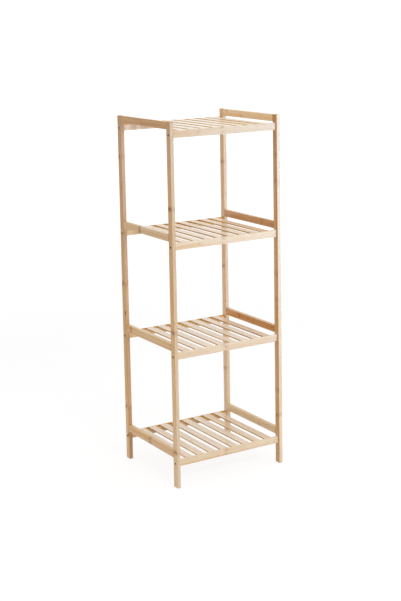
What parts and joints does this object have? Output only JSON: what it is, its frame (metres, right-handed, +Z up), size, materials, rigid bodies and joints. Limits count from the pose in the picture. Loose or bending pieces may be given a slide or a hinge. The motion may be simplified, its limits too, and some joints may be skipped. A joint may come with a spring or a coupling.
{
  "type": "shelving unit",
  "caption": "Narrow free-standing bamboo rack: ladder-like side frames of flat posts and rails carry open slatted shelves, with a low guard rail at each shelf's sides.",
  "frame": {"origin": "floor level, in the middle of the footprint", "axes": "+X to the right along the width as seen from the front, +Y from the front to the back, +Z up"},
  "size_m": [0.385, 0.322, 1.1],
  "materials": {
    "bamboo": "pale laminated bamboo strips with fine fibres and darker node marks, clear satin lacquer",
    "dark_steel": "dark bronze-brown coated steel, matt",
    "dowel_wood": "plain turned hardwood, unfinished"
  },
  "bodies": {
    "root": {"post_front_left": "bamboo", "post_front_right": "bamboo", "post_back_left": "bamboo", "post_back_right": "bamboo", "side_rail_left_1": "bamboo", "side_rail_left_2": "bamboo", "side_rail_left_3": "bamboo", "side_rail_left_4": "bamboo", "side_rail_right_1": "bamboo", "side_rail_right_2": "bamboo", "side_rail_right_3": "bamboo", "side_rail_right_4": "bamboo", "shelf_1_front_rail": "bamboo", "shelf_1_back_rail": "bamboo", "shelf_1_slat_1": "bamboo", "shelf_1_slat_2": "bamboo", "shelf_1_slat_3": "bamboo", "shelf_1_slat_4": "bamboo", "shelf_1_slat_5": "bamboo", "shelf_1_slat_6": "bamboo", "shelf_1_slat_7": "bamboo", "shelf_1_slat_8": "bamboo", "shelf_2_front_rail": "bamboo", "shelf_2_back_rail": "bamboo", "shelf_2_slat_1": "bamboo", "shelf_2_slat_2": "bamboo", "shelf_2_slat_3": "bamboo", "shelf_2_slat_4": "bamboo", "shelf_2_slat_5": "bamboo", "shelf_2_slat_6": "bamboo", "shelf_2_slat_7": "bamboo", "shelf_2_slat_8": "bamboo", "shelf_3_front_rail": "bamboo", "shelf_3_back_rail": "bamboo", "shelf_3_slat_1": "bamboo", "shelf_3_slat_2": "bamboo", "shelf_3_slat_3": "bamboo", "shelf_3_slat_4": "bamboo", "shelf_3_slat_5": "bamboo", "shelf_3_slat_6": "bamboo", "shelf_3_slat_7": "bamboo", "shelf_3_slat_8": "bamboo", "shelf_4_front_rail": "bamboo", "shelf_4_back_rail": "bamboo", "shelf_4_slat_1": "bamboo", "shelf_4_slat_2": "bamboo", "shelf_4_slat_3": "bamboo", "shelf_4_slat_4": "bamboo", "shelf_4_slat_5": "bamboo", "shelf_4_slat_6": "bamboo", "shelf_4_slat_7": "bamboo", "shelf_4_slat_8": "bamboo", "frame_screws": "dark_steel", "side_rail_dowels": "dowel_wood"}
  },
  "joints": []
}
